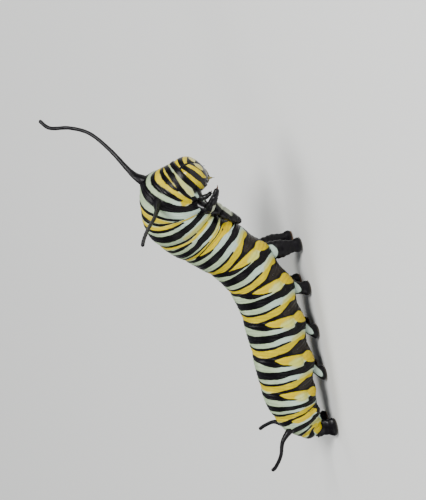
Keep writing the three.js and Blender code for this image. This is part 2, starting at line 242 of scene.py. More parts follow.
def along(values, u):
    """Value at ring number u: a cubic between each two rings that passes through every ring's own value, with
    the slope that its neighbours give over the distance along the body, and straight before the neck."""
    i = np.clip(np.floor(u).astype(int), 0, len(STATIONS) - 2)
    span, t = STATIONS[i + 1] - STATIONS[i], u - i
    if values.ndim > 1:
        span, t = span[..., None], t[..., None]
    slope = slopes(values, STATIONS)
    start, rise = values[i], slope[i] * span
    return np.where(t < 0, start + rise * t, cubic(t, start, values[i + 1], rise, slope[i + 1] * span))


def frame_at(u):
    """Middle, forward, left, up and radius of the body at ring numbers u, from its pitch, yaw and roll."""
    u = np.asarray(u, float)
    pitch, yaw, roll = np.moveaxis(along(TURNS, u), -1, 0)
    forward = np.stack([np.cos(pitch) * np.cos(yaw), np.cos(pitch) * np.sin(yaw), np.sin(pitch)], -1)
    level = np.stack([-np.sin(yaw), np.cos(yaw), 0 * yaw], -1)
    upright = np.cross(forward, level)
    turn_cos, turn_sin = np.cos(roll)[..., None], np.sin(roll)[..., None]
    up = upright * turn_cos - level * turn_sin
    left = level * turn_cos + upright * turn_sin
    return along(MIDDLES, u), forward, left, up, along(RADII, u)


def skin_point(u, angle, lift=0.0):
    """Point of the skin at ring number u and angle in degrees, lift millimetres outside it. The reach is the
    ring's radius, drawn in between rings by the crease times the fourth power of twice the distance from the
    nearest ring, and below the middle it is shortened by a tenth of the squared cosine on its way down."""
    crease = bpy.context.scene.larva_body.crease
    u, angle = np.broadcast_arrays(np.asarray(u, float), np.radians(np.asarray(angle, float)))
    middle, _, left, up, radius = frame_at(u)
    reach = radius * (1 - crease * (2 * np.abs(u - np.round(u))) ** 4) + lift
    high = np.cos(angle)
    drop = np.where(high < 0, 1 - BELLY_FLAT * high * high, 1)
    return middle + up * (reach * high * drop)[..., None] - left * (reach * np.sin(angle))[..., None]


class Shell:
    """A closed surface: rings of points from one pole to the other, with named numbers at each point."""

    def __init__(self, rings, start, end, **numbers):
        count, around = rings.shape[:2]
        self.points = np.concatenate([rings.reshape(-1, 3), [start], [end]])
        row, column = np.meshgrid(np.arange(count - 1), np.arange(around), indexing="ij")
        a = row * around + column
        b = row * around + (column + 1) % around
        self.quads = np.stack([a, b, b + around, a + around], -1).reshape(-1, 4)
        k = np.arange(around)
        after = (k + 1) % around
        first = np.stack([after, k, np.full(around, count * around)], -1)
        last = np.stack([k, after, np.full(around, count * around + 1)], -1)
        last[:, :2] += (count - 1) * around
        self.triangles = np.concatenate([first, last])
        self.numbers = {}
        for name, value in numbers.items():
            value = np.broadcast_to(value, (count, around))
            self.numbers[name] = np.r_[value.ravel(), value[0].mean(), value[-1].mean()]
        if self.volume() < 0:
            self.quads = self.quads[:, ::-1]
            self.triangles = self.triangles[:, ::-1]

    def volume(self):
        """Signed volume: the sum over all triangles of the corners' triple product, over six."""
        faces = np.concatenate([self.quads[:, :3], self.quads[:, [0, 2, 3]], self.triangles])
        p, q, r = (self.points[faces[:, i]] for i in range(3))
        return np.einsum("ij,ij->i", p, np.cross(q, r)).sum() / 6


def piece(name, shells, material, nodes=()):
    """One Blender object from closed shells: its points go from millimetres in the rings' frame to metres in
    the part's frame, and every number that any shell carries becomes an attribute of the mesh."""
    offsets = np.cumsum([0] + [len(shell.points) for shell in shells])
    points = (np.concatenate([shell.points for shell in shells]) - ORIGIN) * MM
    quads = np.concatenate([shell.quads + offset for shell, offset in zip(shells, offsets)])
    triangles = np.concatenate([shell.triangles + offset for shell, offset in zip(shells, offsets)])
    mesh = bpy.data.meshes.new(name)
    mesh.vertices.add(len(points))
    mesh.vertices.foreach_set("co", points.astype(np.float32).ravel())
    mesh.loops.add(quads.size + triangles.size)
    mesh.loops.foreach_set("vertex_index", np.r_[quads.ravel(), triangles.ravel()].astype(np.int32))
    mesh.polygons.add(len(quads) + len(triangles))
    starts = np.r_[4 * np.arange(len(quads)), quads.size + 3 * np.arange(len(triangles))]
    mesh.polygons.foreach_set("loop_start", starts.astype(np.int32))
    mesh.polygons.foreach_set("use_smooth", np.ones(len(starts), bool))
    mesh.update(calc_edges=True)
    for number in sorted({key for shell in shells for key in shell.numbers}):
        values = [shell.numbers.get(number, np.zeros(len(shell.points))) for shell in shells]
        attribute = mesh.attributes.new(number, "FLOAT", "POINT")
        attribute.data.foreach_set("value", np.concatenate(values).astype(np.float32))
    if mesh.validate():
        raise RuntimeError(f"the mesh of {name} had faults")
    mesh.materials.append(material)
    made = bpy.data.objects.new(name, mesh)
    bpy.context.scene.collection.objects.link(made)
    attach(made, "root")
    if nodes:
        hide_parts(*nodes)


def curve_through(points, shares):
    """Points at the given shares of the length of a smooth curve, and that length. The curve is a cubic
    between each two given points, with slopes from their neighbours, measured finely and read off."""
    points = np.asarray(points, float)
    steps = np.r_[0, np.cumsum(np.sqrt(np.linalg.norm(np.diff(points, axis=0), axis=1)))]
    slope = slopes(points, steps)
    spans = len(points) - 1
    fine = np.linspace(0, steps[-1], 40 * spans + 1)
    i = np.clip(np.searchsorted(steps, fine, side="right") - 1, 0, spans - 1)
    span = (steps[i + 1] - steps[i])[:, None]
    t = (fine - steps[i])[:, None] / span
    path = cubic(t, points[i], points[i + 1], slope[i] * span, slope[i + 1] * span)
    length = np.r_[0, np.cumsum(np.linalg.norm(np.diff(path, axis=0), axis=1))]
    return np.stack([np.interp(shares * length[-1], length, path[:, k]) for k in range(3)], -1), length[-1]


def tube(points, radius, around, rows, facing=None, **numbers):
    """A round tube along a smooth curve: each ring is the curve's point plus cosine and sine of the angle
    times two directions square to the curve, times radius(share). Over the last 0.9 radii the rings shrink
    as a circle's do. The number facing is how far a point looks in a given direction."""
    shares = np.linspace(0, 1, rows)
    _, length = curve_through(points, shares)
    tip = radius(shares)[-1] * 0.9 / length
    edge = 1 - np.cos(np.linspace(0, math.pi / 2, 7))[:-1]
    shares = np.r_[shares[shares < 1 - tip], 1 - tip * edge[::-1]]
    path, _ = curve_through(points, shares)
    close = np.clip((shares - (1 - tip)) / tip, 0, 1)
    size = (radius(shares) * np.sqrt(np.maximum(1 - close ** 2, 0.02)))[:, None]
    tangent = np.gradient(path, axis=0)
    tangent /= np.linalg.norm(tangent, axis=1)[:, None]
    side = np.cross(tangent, SKEW)
    side /= np.linalg.norm(side, axis=1)[:, None]
    other = np.cross(tangent, side)
    turn = np.linspace(0, 2 * math.pi, around, endpoint=False)[None, :, None]
    rings = (path[:, None] + side[:, None] * np.cos(turn) * size[..., None]
             + other[:, None] * np.sin(turn) * size[..., None])
    grid = {name: value(shares[:, None]) if callable(value) else value for name, value in numbers.items()}
    if facing is not None:
        grid["facing"] = (rings - path[:, None]) @ facing / size
    return Shell(rings, path[0], path[-1] + tangent[-1] * size[-1] * 0.1, **grid)


def ball(middle, axes, sizes, around, high, shape=None, **numbers):
    """An ellipsoid: middle plus the three axes times their half sizes, times the sines and cosines of two
    angles, with each unit point first moved by shape."""
    tilt = np.linspace(0, math.pi, high + 2)[1:-1, None]
    turn = np.linspace(0, 2 * math.pi, around, endpoint=False)[None]
    unit = np.stack([np.sin(tilt) * np.cos(turn), np.sin(tilt) * np.sin(turn), np.cos(tilt) + 0 * turn], -1)
    poles = np.array([[0, 0, 1.0], [0, 0, -1.0]])
    if shape:
        unit, poles = shape(unit), shape(poles)
    basis = np.asarray(axes) * np.asarray(sizes)[:, None]
    grid = {name: value(unit) if callable(value) else value for name, value in numbers.items()}
    return Shell(middle + unit @ basis, middle + poles[0] @ basis, middle + poles[1] @ basis, **grid)


# Bands of the skin as (angle from the back, front edge, rear edge), edges as ring numbers. The first kinds of
# colour lie under the later ones: wash, yellow, black, umber, pale, and orange on top.
THORAX_BANDS = [
    ("black", [(0, -0.5, 0.24), (30, -0.5, 0.28), (60, -0.5, 0.35), (80, -0.5, 0.4), (88, -0.5, 0.5),
        (96, -0.5, 0.7), (104, -0.5, 0.9), (115, -0.5, 1.0)]),
    ("wash", [(12, 0.4, 0.56), (30, 0.4, 0.68), (50, 0.45, 0.84), (70, 0.5, 1.0), (90, 0.6, 1.1),
        (96, 0.9, 1.1)]),
    ("wash", [(60, 3.3, 3.5), (80, 3.15, 3.5), (90, 3.05, 3.65), (120, 3.1, 3.7), (150, 3.3, 3.8)]),
    ("wash", [(92, 11.3, 11.6), (108, 11.1, 12.0), (120, 11.05, 12.6), (135, 11.2, 12.2)]),
    ("black", [(0, 0.58, 0.85), (10, 0.56, 0.87), (20, 0.58, 0.9), (30, 0.65, 0.97), (40, 0.75, 1.0),
        (50, 0.83, 1.04), (60, 0.95, 1.1), (80, 1.08, 1.18), (90, 1.13, 1.22), (100, 1.2, 1.25)]),
    ("black", [(98, 1.15, 1.25), (106, 0.45, 1.28), (112, 0.25, 1.5), (117, 0.2, 1.95), (125, 0.1, 1.9),
        (140, 0.1, 1.8), (150, 0.1, 1.8), (160, 0.1, 1.9), (180, 0.1, 2.0)]),
    ("pale", [(97, 0.84, 0.9), (104, 0.64, 1.03), (110, 0.6, 1.08), (118, 0.65, 1.0), (125, 0.8, 0.85)]),
    ("yellow", [(0, 0.92, 1.07), (20, 0.96, 1.07), (40, 1.03, 1.08), (50, 1.07, 1.12), (60, 1.13, 1.13)]),
    ("black", [(0, 1.08, 1.15), (10, 1.07, 1.17), (30, 1.07, 1.17), (50, 1.12, 1.16), (62, 1.1, 1.15)]),
    ("yellow", [(0, 1.2, 1.42), (20, 1.18, 1.38), (40, 1.15, 1.35), (60, 1.17, 1.35), (80, 1.2, 1.42),
        (90, 1.22, 1.72), (100, 1.25, 1.6), (111, 1.5, 1.5)]),
    ("black", [(0, 1.43, 1.54), (20, 1.4, 1.53), (40, 1.35, 1.5), (60, 1.36, 1.48), (80, 1.42, 1.5),
        (86, 1.46, 1.46)]),
    ("black", [(0, 1.75, 2.02), (20, 1.74, 2.03), (40, 1.7, 2.03), (80, 1.7, 2.01), (100, 1.68, 2.0),
        (115, 1.5, 1.97), (125, 1.4, 1.9)]),
    ("black", [(0, 2.27, 2.33), (40, 2.24, 2.3), (60, 2.27, 2.34), (80, 2.3, 2.37), (90, 2.35, 2.35)]),
    ("yellow", [(0, 2.3, 2.5), (20, 2.34, 2.52), (40, 2.32, 2.5), (60, 2.38, 2.45), (69, 2.42, 2.42)]),
    ("black", [(0, 2.52, 2.6), (40, 2.53, 2.58), (60, 2.47, 2.5), (80, 2.39, 2.39)]),
    ("orange", [(0, 2.65, 2.75), (20, 2.64, 2.74), (40, 2.6, 2.7), (60, 2.52, 2.62), (80, 2.42, 2.52),
        (90, 2.38, 2.46), (100, 2.33, 2.44), (110, 2.3, 2.5), (116, 2.4, 2.4)]),
    ("black", [(0, 2.76, 2.83), (20, 2.75, 2.82), (40, 2.7, 2.78), (60, 2.63, 2.7), (80, 2.53, 2.57),
        (86, 2.53, 2.53)]),
    ("black", [(0, 2.95, 3.2), (30, 2.95, 3.22), (50, 2.9, 3.22), (60, 2.85, 3.18), (70, 2.8, 3.05),
        (80, 2.73, 3.0), (100, 2.62, 2.88), (115, 2.53, 2.85), (120, 2.3, 2.85), (140, 2.2, 2.95),
        (150, 2.3, 3.1), (165, 2.4, 3.1)]),
    ("black", [(0, 3.48, 3.54), (30, 3.48, 3.54), (60, 3.52, 3.59), (80, 3.52, 3.54)]),
    ("umber", [(80, 3.52, 3.54), (100, 3.5, 3.52), (125, 3.5, 3.52)]),
    ("yellow", [(0, 3.55, 3.65), (30, 3.55, 3.67), (50, 3.62, 3.72), (70, 3.62, 3.72), (80, 3.55, 3.7),
        (100, 3.5, 3.65), (110, 3.5, 3.6)]),
    ("black", [(0, 3.73, 3.85), (20, 3.75, 3.86), (40, 3.72, 3.83), (60, 3.75, 3.78)]),
    ("black", [(0, 4.05, 4.24), (40, 4.04, 4.22), (60, 4.0, 4.17), (70, 3.87, 4.14), (80, 3.84, 4.16),
        (100, 3.83, 4.14), (120, 3.8, 4.08), (140, 3.8, 4.05), (160, 3.8, 4.3)]),
    ("black", [(0, 4.35, 4.37), (40, 4.32, 4.36), (60, 4.29, 4.32), (76, 4.3, 4.3)]),
    ("yellow", [(0, 4.37, 4.5), (30, 4.37, 4.5), (50, 4.36, 4.44), (70, 4.3, 4.37), (100, 4.25, 4.33),
        (118, 4.2, 4.22)]),
    ("black", [(0, 4.57, 4.63), (25, 4.56, 4.65), (35, 4.5, 4.66), (50, 4.45, 4.67), (60, 4.42, 4.68),
        (68, 4.4, 4.62), (100, 4.36, 4.6), (112, 4.32, 4.7), (120, 4.22, 4.72), (130, 4.18, 4.76),
        (150, 4.18, 4.8)]),
    ("wash", [(90, 4.15, 4.3), (120, 4.1, 4.22), (130, 4.1, 4.15)]),
    ("orange", [(38, 4.52, 4.52), (50, 4.48, 4.57), (60, 4.45, 4.61), (70, 4.41, 4.62), (90, 4.41, 4.6),
        (100, 4.4, 4.63), (110, 4.36, 4.72), (120, 4.36, 4.72), (130, 4.45, 4.7), (136, 4.6, 4.6)]),
]
REAR_BANDS = [
    ("black", [(0, 9.97, 10.2), (20, 9.97, 10.17), (60, 9.97, 10.12), (90, 9.98, 10.1), (110, 9.97, 10.15),
        (130, 9.95, 10.15), (150, 10.0, 10.18)]),
    ("black", [(0, 10.33, 10.42), (30, 10.32, 10.39), (60, 10.28, 10.32), (86, 10.27, 10.27)]),
    ("yellow", [(0, 10.45, 10.68), (40, 10.4, 10.6), (60, 10.33, 10.52), (80, 10.3, 10.5), (100, 10.2, 10.48),
        (120, 10.2, 10.35), (136, 10.25, 10.3)]),
    ("black", [(0, 10.72, 10.85), (20, 10.68, 10.82), (40, 10.62, 10.76), (55, 10.55, 10.7),
        (62, 10.54, 10.66), (80, 10.5, 10.56), (100, 10.46, 10.53), (120, 10.35, 10.45), (128, 10.3, 10.75),
        (150, 10.25, 11.0)]),
    ("orange", [(58, 10.63, 10.66), (70, 10.58, 10.8), (100, 10.52, 10.75), (120, 10.38, 10.7),
        (130, 10.48, 10.65), (133, 10.58, 10.58)]),
    ("black", [(0, 11.28, 11.6), (20, 11.15, 11.6), (40, 11.0, 11.45), (60, 10.92, 11.35), (80, 10.9, 11.25),
        (100, 10.87, 11.1), (120, 10.78, 10.98), (150, 10.7, 10.95)]),
    ("black", [(0, 12.15, 12.42), (20, 12.05, 12.33), (40, 11.93, 12.15), (60, 11.8, 11.97),
        (80, 11.68, 11.78), (97, 11.55, 11.6)]),
    ("yellow", [(0, 12.3, 12.7), (40, 12.25, 12.65), (60, 12.05, 12.6), (80, 11.9, 12.25), (100, 11.6, 12.05),
        (112, 11.7, 12.0)]),
    ("black", [(0, 12.95, 14.0), (35, 12.95, 14.0), (50, 12.8, 13.3), (62, 12.6, 13.2), (72, 12.4, 13.1),
        (80, 12.2, 12.5), (90, 12.03, 12.15), (95, 12.0, 12.05)]),
    ("yellow", [(80, 12.7, 13.7), (88, 12.3, 13.7), (96, 12.0, 13.7), (126, 11.9, 13.7), (129, 12.2, 12.6)]),
    ("orange", [(96, 12.5, 13.7), (100, 12.0, 13.7), (108, 11.95, 13.7), (112, 12.4, 13.5),
        (115, 12.8, 12.9)]),
    ("black", [(126, 12.9, 14.0), (131, 12.4, 14.0), (145, 12.1, 14.0), (150, 10.9, 14.0),
        (180, 10.8, 14.0)]),
]
# One period of the abdomen's pattern, edges as the distance behind the segment's own ring
PERIOD_BANDS = [
    ("black", [(0, -0.09, 0.17), (20, -0.1, 0.12), (60, -0.12, 0.08), (80, -0.12, 0.02), (90, -0.12, 0.02),
        (110, -0.12, 0.07), (130, -0.16, 0.06), (145, -0.13, 0.1), (155, -0.1, 0.18)]),
    ("yellow", [(0, 0.33, 0.53), (20, 0.345, 0.54), (40, 0.33, 0.54), (60, 0.3, 0.5), (80, 0.24, 0.46),
        (93, 0.22, 0.43), (105, 0.22, 0.34), (115, 0.2, 0.29), (130, 0.2, 0.33), (150, 0.32, 0.38)]),
    ("black", [(0, 0.53, 0.66), (20, 0.54, 0.69), (40, 0.55, 0.74), (55, 0.52, 0.77), (60, 0.5, 0.77),
        (70, 0.48, 0.768), (80, 0.46, 0.795), (90, 0.44, 0.8), (93, 0.42, 0.7), (100, 0.36, 0.65),
        (116, 0.28, 0.65), (130, 0.32, 0.7), (155, 0.38, 0.9), (165, 0.3, 1.0)]),
    ("umber", [(96, 0.43, 0.53), (101, 0.4, 0.545), (110, 0.335, 0.56), (130, 0.35, 0.56), (146, 0.4, 0.62),
        (152, 0.5, 0.6)]),
    ("black", [(115, 0.9, 0.95), (119, 0.82, 1.0), (130, 0.85, 1.0), (145, 0.9, 1.0), (158, 0.9, 1.0)]),
    ("black", [(136, 0.34, 0.38), (142, 0.24, 0.4), (150, 0.2, 0.4), (160, 0.1, 0.4)]),
    ("wash", [(84, 0.7, 0.8), (95, 0.66, 0.88), (105, 0.66, 0.9), (114, 0.7, 0.86)]),
    ("wash", [(100, 0.14, 0.3), (115, 0.1, 0.28), (130, 0.12, 0.3), (140, 0.18, 0.3)]),
]
# Its orange side patch and its thin black line across the back
PERIOD_PATCH = [(60, 0.57, 0.67), (70, 0.56, 0.725), (80, 0.55, 0.755), (90, 0.56, 0.8), (100, 0.58, 0.86),
    (108, 0.6, 0.86), (114, 0.625, 0.8), (118, 0.635, 0.78), (124, 0.6, 0.86), (132, 0.6, 0.9),
    (140, 0.66, 0.935), (147, 0.76, 0.94), (151, 0.84, 0.92)]
PERIOD_LINE = [(0, 0.27, 0.325), (20, 0.29, 0.345), (60, 0.25, 0.3), (80, 0.205, 0.235), (95, 0.2, 0.21)]
# For each middle segment: the angles where its thin black line ends and its side patch starts, the edges of
# its second black band on the back, and how far its first one is moved backwards
PERIOD_CHANGES = {
    5: {"line_end": 82, "patch_start": 45, "back": (0.51, 0.63), "thick": -0.04},
    6: {"line_end": 92, "patch_start": 52, "back": (0.49, 0.57), "thick": -0.04},
    7: {"line_end": 93, "patch_start": 55, "back": (0.53, 0.68), "thick": -0.02},
    8: {"line_end": 97, "patch_start": 57, "back": (0.54, 0.66), "thick": 0.04},
    9: {"line_end": 93, "patch_start": 53, "back": (0.6, 0.73), "thick": 0.03},
}
# The belly, black all along
BELLY_BAND = ("black", [(160, -1, 14), (180, -1, 14)])
KINDS = ("wash", "yellow", "black", "umber", "orange", "pale")
# Degrees that a band's edge is smoothed over, its greatest depth, and its loss for each degree past its ends
EDGE_BLUR = 4.0
BAND_DEPTH = 0.25
END_LOSS = 0.08


def to_length(u):
    """Millimetres along the body at ring number u, straight between rings."""
    return np.interp(u, np.arange(len(STATIONS)), STATIONS) + np.minimum(u, 0) * 0.6


def band_field(u, angle, band):
    """How deep a point lies inside a band, in millimetres: the lesser of the distances to its front and rear
    edge, at most a quarter, less a loss for each degree past its first or last angle. The edges run straight
    between the table's angles and are then smoothed by a hill."""
    table = np.array(band, float)
    fine = np.arange(0, 181, 1.0)
    reach = int(2 * EDGE_BLUR)
    kernel = hill(np.arange(-reach, reach + 1) / EDGE_BLUR)
    kernel /= kernel.sum()
    edges = []
    for column in (1, 2):
        edge = np.interp(fine, table[:, 0], table[:, column])
        edge = np.convolve(np.pad(edge, reach, mode="reflect"), kernel, mode="valid")
        edges.append(to_length(np.interp(angle, fine, edge)))
    where = to_length(u)
    past = np.maximum(0, angle - table[-1, 0]) + np.maximum(0, table[0, 0] - angle)
    return np.minimum(np.minimum(where - edges[0], edges[1] - where), BAND_DEPTH) - END_LOSS * past


def all_bands():
    """Every band of the body as (colour, table of angle and edges), the middle segments' from one period."""
    bands = THORAX_BANDS + REAR_BANDS + [BELLY_BAND]
    for n, change in PERIOD_CHANGES.items():
        low, high = change["back"]
        end, start, thick = change["line_end"], change["patch_start"], change["thick"]
        own = list(PERIOD_BANDS)
        own[0] = ("black", [(angle, front + thick, rear + thick * 0.5) for angle, front, rear in own[0][1]])
        own[2] = ("black", [(0, low, high), (20, low + 0.01, high + 0.02)] + own[2][1][2:])
        own.append(("black", [row for row in PERIOD_LINE if row[0] < end] + [(end, 0.212, 0.214)]))
        own.append(("orange", [(start, 0.6, 0.605)] + [row for row in PERIOD_PATCH if row[0] > start + 3]))
        for kind, table in own:
            bands.append((kind, [(angle, n + front, n + rear) for angle, front, rear in table]))
    return bands


def skin_numbers(u, angle):
    """Fields of the markings over the skin: for each colour the deepest of its bands at every point, and the
    cosine of the angle, which is 1 on the back and 0 on the flank."""
    away = np.abs(angle)
    fields = {kind: np.full(u.shape, -1.0) for kind in KINDS}
    for kind, table in all_bands():
        fields[kind] = np.maximum(fields[kind], band_field(u, away, table))
    return {"side": np.cos(np.radians(away)), **fields}


def swelling(u, angle, high, ring, along_wide, middle, round_wide):
    """A smooth hill on the skin: a height, then its ring and width along, its angle and width round."""
    return high * hill((u - ring) / along_wide) * hill((angle - middle) / round_wide)


def skin_relief(u, angle):
    """How far the skin stands out in millimetres: soft folds across each segment, a fold line below the side
    patches, swellings at the roots of legs, prolegs and tentacles, and the knobs low on each side."""
    away = np.abs(angle)
    where = u - np.round(u)
    behind = u - np.floor(u)
    calm = smooth_step(0.3, 1.2, u) * (1 - smooth_step(11.8, 12.6, u))
    middle_body = smooth_step(3.7, 4.2, u) * (1 - smooth_step(11.2, 11.8, u))
    ripple = np.cos(2 * math.pi * (u * 5 + 0.25 * np.sin(np.radians(3 * angle))))
    depth = bpy.context.scene.larva_body.fold * calm
    relief = depth * (np.abs(ripple) - 0.6) * smooth_step(0, 0.25, np.abs(where) + 0.12)
    relief += swelling(where, away, 0.1 * calm, 0, 0.33, 95, 45)
    relief += swelling(behind, away, 0.24 * middle_body, 0.74, 0.2, 139, 17)
    relief -= swelling(behind, away, 0.1 * middle_body, 0.9, 0.3, 121 + 6 * np.sin(2 * math.pi * u), 5)
    relief += swelling(behind, away, 0.06 * middle_body, 0.63, 0.14, 88, 30)
    for leg in LEGS:
        relief += swelling(u, away, 0.42, leg["ring"], 0.26, leg["root"], 19)
    for proleg in PROLEGS[:-1]:
        relief += swelling(u, away, 0.3, proleg["ring"], 0.2, 152, 20)
    for tentacle in TENTACLES.values():
        high, wide = (0.35, 0.15) if tentacle["lengths"] == 3 else (0.22, 0.22)
        relief += swelling(u, angle, high, tentacle["ring"], wide, tentacle["angle"], 11)
    return relief


def skin_shell(rows, columns):
    """The body's skin: skin_point over ring number and angle plus the relief. Both ends are closed by drawing
    the rings together, by the root of 1 less a share of the fourth power of the way past the full rings."""
    neck, tail = SKIN["neck"], SKIN["tail"]
    front = np.linspace(SKIN["front"], 0.02, 8)
    share = np.arange(1, 33) / 32
    inner = np.linspace(neck, tail, rows - len(front) - len(share))
    rear = tail + (SKIN["rear"] - tail) * np.sin(share * math.pi / 2)
    past = (neck - front) / (neck - SKIN["front"])
    shrink = np.sqrt(1 - np.r_[0.97 * past ** 4, 0 * inner, 0.985 * share ** 4])
    angle = np.linspace(-180, 180, columns, endpoint=False)
    u, angle = np.meshgrid(np.r_[front, inner, rear], angle, indexing="ij")
    middle = along(MIDDLES, u)
    points = middle + (skin_point(u, angle, skin_relief(u, angle)) - middle) * shrink[:, None, None]
    return Shell(points, points[0].mean(0), points[-1].mean(0), **skin_numbers(u, angle))


def sole_middle(proleg, side):
    """Middle of a proleg's sole on the floor: out from the body's own middle at its ring."""
    body = along(MIDDLES, np.array(float(proleg["ring"])))
    return np.array([proleg["foot"], body[1] - side * FOOT_SPREAD, 0])


def proleg_shell(proleg, side):
    """A proleg: level ellipses from inside the body down to the sole, narrowing at the ankle and spreading to
    a fleshy foot. Its height above the sole and the depth inside its pale plate are kept for the markings."""
    root = skin_point(proleg["ring"], side * proleg["root"], -0.75)
    sole = sole_middle(proleg, side)
    share = np.linspace(0, 1, 40)
    height = root[2] * (1 - share)
    middle = root + (sole - root) * (0.5 - 0.5 * np.cos(np.pi * np.clip(share * 1.15, 0, 1)))[:, None]
    middle[:, 2] = height
    tall = height[:, None]
    turn = np.linspace(0, 2 * math.pi, 40, endpoint=False)
    folds = 1 + 0.03 * np.cos(tall * 14) * smooth_step(0.6, 1.0, tall)
    size = np.interp(tall, *PROLEG_PROFILE)
    x = proleg["long"] * size * np.cos(turn) * folds
    y = proleg["wide"] * size * np.sin(turn) * folds
    rings = middle[:, None] + np.stack([x, y, 0 * x], -1)
    plate_middle = skin_point(proleg["ring"], side * 146.0)[2] - 0.26
    plate = 0.5 - np.hypot((tall - plate_middle) * 0.85, np.cos(turn) * 0.6)
    hidden = (-side * np.sin(turn) < 0.15) | (proleg["name"] == "anal")
    return Shell(rings, middle[0], sole, pale=plate - 1.2 * hidden, height=tall)


def hook_shells(proleg, side):
    """The small hooks of a foot: short curved tubes in a half ring along the inner edge of the sole."""
    shells = []
    middle = sole_middle(proleg, side) + [0, 0, HOOKS["high"]]
    reach = np.array([proleg["long"] * 0.86, side * proleg["wide"] * 0.9, 0])
    for turn in np.linspace(-HOOKS["half_turn"], HOOKS["half_turn"], HOOKS["count"]):
        out = reach * [math.sin(turn), math.cos(turn), 0]
        base = middle + out * 0.85
        bend = [base, base + out * 0.25 + [0, 0, -0.05], base + out * 0.26 + [0, 0, -0.145]]
        shells.append(tube(bend, lambda share: HOOKS["radius"] * (1.1 - 0.8 * share), 6, 6))
    return shells


def leg_shells(leg, side):
    """A true leg: joints along its bend, each a little swollen, and a curved claw. One number tells how far
    along the leg a point is, and past 1 on the claw, another how far it faces out and down."""
    base = skin_point(leg["ring"], side * leg["root"], -0.7)
    knee = skin_point(leg["ring"], side * leg["root"], leg["lift"])
    _, forward, left, up, _ = frame_at(leg["ring"])
    inward = left * side
    reach = leg["forward"][0 if side > 0 else 1]
    points = [base, knee]
    for share, bow in LEG_BENDS:
        points.append(knee + forward * reach * share - inward * leg["out"] * bow - up * leg["down"] * share)
    thick = leg["thick"]

    def radius(share):
        joint = 1 - 0.17 * sum(hill((share - place) / wide) for place, wide in LEG_JOINTS)
        return thick * np.interp(share, *LEG_PROFILE) * joint

    body = tube(points, radius, 24, 90, facing=-0.55 * inward - 0.83 * up, length=lambda share: share)
    ahead = points[-1] - points[-2]
    ahead /= np.linalg.norm(ahead)
    tip = points[-1] - ahead * 0.08
    hook = [tip, tip + ahead * thick * 0.5, tip + ahead * thick * 0.8 + inward * thick * 0.4]
    return [body, tube(hook, lambda share: thick * (0.24 - 0.2 * share), 10, 14, length=1.3)]


def tentacle_shell(tentacle):
    """A tentacle: a tube along its bend whose radius falls from a wide root by one or two hills to a thread,
    a little thicker again at its blunt tip."""
    thin = bpy.context.scene.larva_body.tentacle_thin
    base, start, neck = (skin_point(tentacle["ring"], tentacle["angle"], lift) for lift in (0, -0.7, 0.15))
    points = [start, neck] + [base + np.array(step) for step in tentacle["bend"]]
    long = tentacle["lengths"] == 3

    def radius(share):
        flare = 0.3 * hill(share / 0.11) + 0.12 * hill(share / 0.3) if long else 0.24 * hill(share / 0.3)
        return thin * (0.95 + 0.1 * share + 0.03 * np.sin(share * 90)) + flare

    return tube(points, radius, 20, 150 if long else 70)


def head_axes():
    """Middle of the head capsule, and its left, up and forward directions."""
    middle, forward, left, up, _ = frame_at(0.0)
    return middle + forward * HEAD["forward"] - up * HEAD["down"], np.array([left, up, forward])


def head_surface(unit):
    """The capsule's own shape from unit directions (left, up, forward): two rounded lobes parted by a groove
    along the crown that forks at the face, with the face a little flat and the cheeks full."""
    x, y, z = np.moveaxis(unit, -1, 0)
    line = x + 0.12 * y
    crown = smooth_step(-0.15, 0.35, y)
    reach = 1 - 0.075 * hill(line / 0.07) * crown - 0.03 * hill(line / 0.2) * crown
    fork = np.abs(line) - (0.02 + 0.36 * np.clip(0.45 - y, 0, 1.2))
    reach -= 0.03 * hill(fork / 0.035) * smooth_step(0.45, 0.6, z)
    reach += 0.035 * hill((np.abs(x) - 0.55) / 0.3) * smooth_step(-0.4, 0.3, y)
    reach -= 0.04 * smooth_step(0.75, 1, z)
    reach -= 0.05 * smooth_step(0.5, 1.0, -y) * smooth_step(0, 0.6, z)
    return unit * reach[..., None]


def head_numbers(unit):
    """Marking fields of the head, from the angle off the face's axis and the angle round it, which is turned
    by 7 degrees because the head is: the arcs on crown and cheeks, and the pale patch beside the face."""
    x, y, z = np.moveaxis(unit / np.linalg.norm(unit, axis=-1, keepdims=True), -1, 0)
    off = np.degrees(np.arccos(np.clip(z, -1, 1)))
    turn = np.degrees(np.arctan2(-x, y)) - 7
    away = np.abs((turn + 180) % 360 - 180)
    depth = {}
    for name, (angles, low, high, first, last) in HEAD_ARCS.items():
        inside = np.minimum(off - np.interp(away, angles, low), np.interp(away, angles, high) - off)
        depth[name] = np.minimum(inside, np.minimum(away - first, last - away) * 0.6) / 12
    return {"yellow": np.maximum(depth["outer"], depth["inner"]), "pale": depth["face"]}


def capsule_shell():
    """The head capsule: an ellipsoid with its poles at the crown and the throat, moved by head_surface."""
    middle, (left, up, forward) = head_axes()

    def turned(unit):
        return np.stack([unit[..., 0], -unit[..., 2], unit[..., 1]], -1)

    def shape(unit):
        made = head_surface(turned(unit))
        return np.stack([made[..., 0], made[..., 2], -made[..., 1]], -1)

    return ball(middle, [left, forward, -up], [HEAD["width"], HEAD["depth"], HEAD["height"]], 220, 150, shape,
                yellow=lambda unit: head_numbers(turned(unit))["yellow"],
                pale=lambda unit: head_numbers(turned(unit))["pale"])


